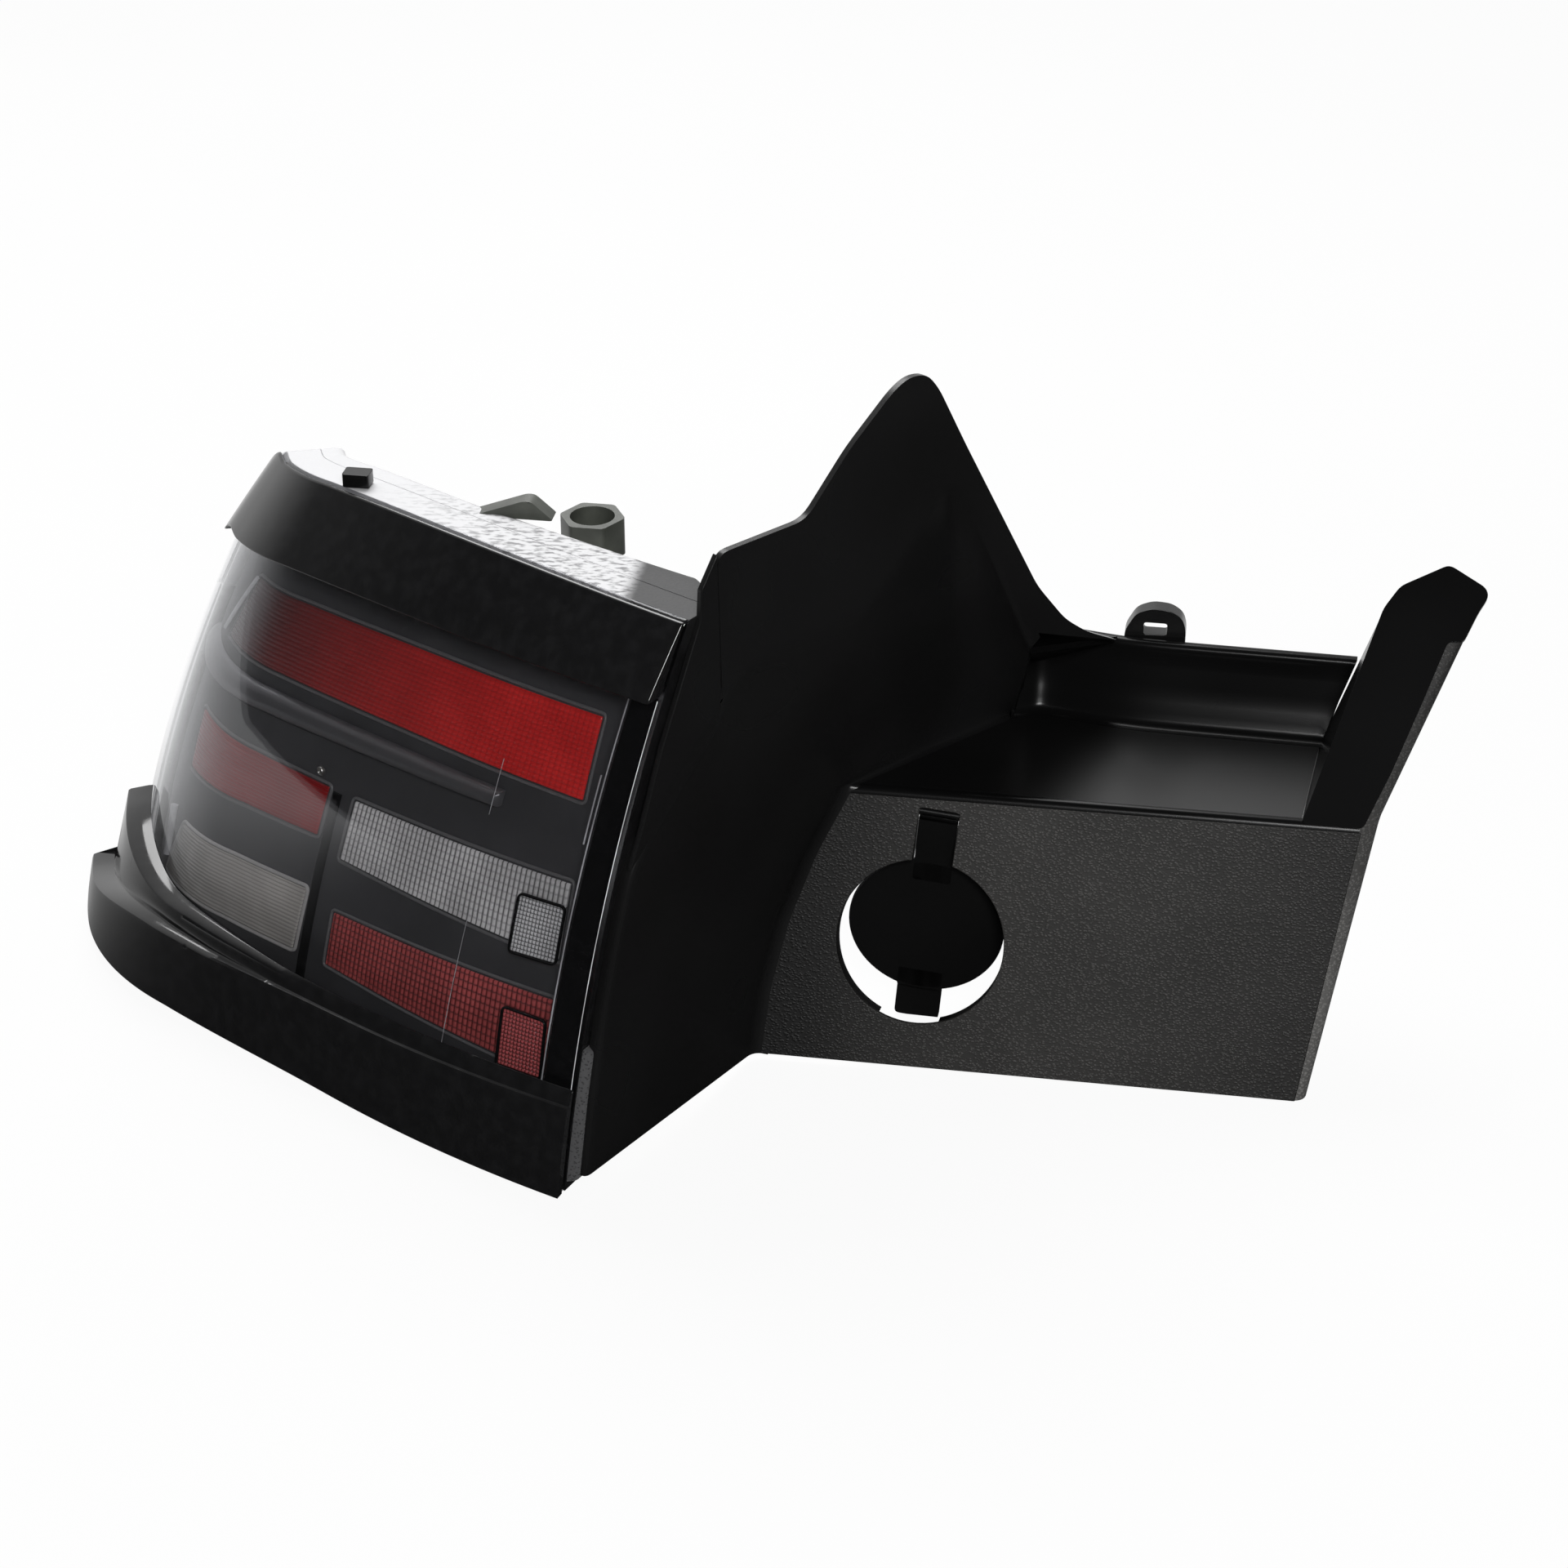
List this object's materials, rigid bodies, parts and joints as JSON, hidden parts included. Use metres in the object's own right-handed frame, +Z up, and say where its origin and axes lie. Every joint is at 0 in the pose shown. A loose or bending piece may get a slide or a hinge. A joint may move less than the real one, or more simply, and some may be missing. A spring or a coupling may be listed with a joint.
{
  "type": "tail light cluster",
  "caption": "Wraparound rear lamp with a smoked lens over red and clear light units, gloss borders, rear housing with studs, and a black closing panel with a hinged access flap.",
  "frame": {"origin": "centre of the upper stud where its gasket ring meets the car body", "axes": "+Y into the car body along the studs, +Z up, +X from the lamp along the closing panel"},
  "size_m": [0.5401, 0.2425, 0.2653],
  "materials": {
    "smoked_lens": "clear polycarbonate with a smoked tint, glossy",
    "gloss_black": "gloss black",
    "housing_grey": "light grey moulded plastic",
    "bezel_grey": "dark grey satin",
    "blade_grey": "satin grey",
    "red_lens": "red fluted plastic",
    "clear_lens": "clear fluted plastic",
    "reflector": "metallised",
    "board_green": "printed circuit board",
    "chip_yellow": "phosphor",
    "black_plastic": "moulded black plastic",
    "contact_metal": "tinned contacts",
    "holder_grey": "grey green plastic",
    "foam": "closed cell foam",
    "zinc_steel": "zinc plated",
    "panel_black": "black plastic, smooth with a grained face"
  },
  "bodies": {
    "lamp": {"outer_lens": "smoked_lens", "upper_border": "gloss_black", "lower_border": "gloss_black", "seam_border": "gloss_black", "housing": "housing_grey", "bezel": "bezel_grey", "trim_blade": "blade_grey", "upper_tail_lens": "red_lens", "side_tail_lens": "red_lens", "turn_lens": "clear_lens", "reverse_lens": "clear_lens", "fog_lens": "red_lens", "reverse_prism": "clear_lens", "fog_prism": "red_lens", "upper_tail_tray": "reflector", "side_tail_tray": "reflector", "turn_tray": "reflector", "reverse_tray": "reflector", "fog_tray": "reflector", "upper_tail_board": "board_green", "side_tail_board": "board_green", "turn_board": "board_green", "reverse_board": "board_green", "fog_board": "board_green", "light_chips": "chip_yellow", "driver_unit": "black_plastic", "connector_socket": "black_plastic", "contact_pins": "contact_metal", "vent_cap": "black_plastic", "bulb_holder": "holder_grey", "body_gasket": "foam", "seam_foam": "foam", "stud_upper": "zinc_steel", "stud_lower": "zinc_steel", "locating_pin": "black_plastic", "top_peg": "black_plastic", "closing_panel": "panel_black", "retaining_clip": "black_plastic", "panel_screws": "zinc_steel"},
    "flap": {"access_flap": "panel_black"}
  },
  "joints": [
    {"name": "flap_hinge", "type": "hinge", "parent": "lamp", "child": "flap", "pos_m": [0.14823, -0.01198, -0.05772], "axis": [0.9962, -0.0298, -0.0819], "range_deg": [-22, 30]}
  ]
}
